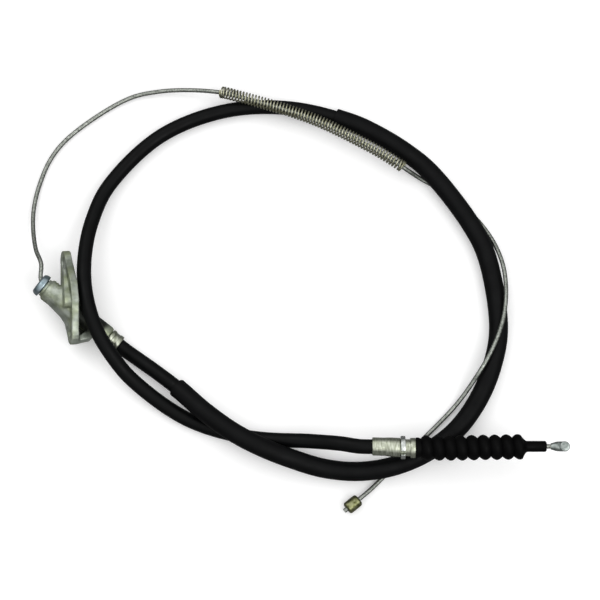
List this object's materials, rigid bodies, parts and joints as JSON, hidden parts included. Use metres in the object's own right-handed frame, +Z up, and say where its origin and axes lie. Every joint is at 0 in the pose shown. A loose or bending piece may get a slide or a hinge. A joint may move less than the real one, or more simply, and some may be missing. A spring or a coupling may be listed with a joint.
{
  "type": "parking brake cable",
  "caption": "Coiled parking brake cable: armoured black casing with a cast flange bracket, a bellows boot with a pull nipple, and a bare strand with a return spring and a button.",
  "frame": {"origin": "middle of the lying coil's outline, on the floor it rests on", "axes": "+X along the longest side, from the bracket towards the pull nipple; +Y across the coil; +Z up from the floor"},
  "size_m": [0.3619, 0.2991, 0.0338],
  "materials": {
    "casing_jacket": "semi-matt black extruded plastic",
    "casing_armour": "wound spring-steel armour",
    "casing_liner": "low-friction white liner",
    "protective_sleeve": "black ribless rubber hose, slightly dull",
    "inner_strand": "galvanised twisted steel strand",
    "pull_strand": "galvanised twisted steel strand",
    "return_spring": "bright spring wire with a faint yellow passivation",
    "strand_button": "olive yellow passivated zinc",
    "mounting_bracket": "bare die-cast metal with a faint green-grey tint",
    "mouth_bush": "bluish zinc plate",
    "bracket_ferrule": "bright zinc plate, crimped",
    "pull_end_fitting": "bright zinc plate, crimped",
    "snap_ring": "bright zinc plate",
    "dust_boot": "soft black rubber",
    "pull_nipple": "bright zinc plate"
  },
  "bodies": {
    "cable": {"casing_jacket": "casing_jacket", "casing_armour": "casing_armour", "casing_liner": "casing_liner", "protective_sleeve": "protective_sleeve", "inner_strand": "inner_strand", "return_spring": "return_spring", "strand_button": "strand_button", "mounting_bracket": "mounting_bracket", "mouth_bush": "mouth_bush", "bracket_ferrule": "bracket_ferrule", "pull_end_fitting": "pull_end_fitting", "snap_ring": "snap_ring", "dust_boot": "dust_boot"},
    "pull_end": {"pull_strand": "pull_strand", "pull_nipple": "pull_nipple"}
  },
  "joints": [
    {"name": "strand_pull", "type": "slide", "parent": "cable", "child": "pull_end", "axis": [1, 0, 0], "range_m": [0, 0.025]}
  ]
}
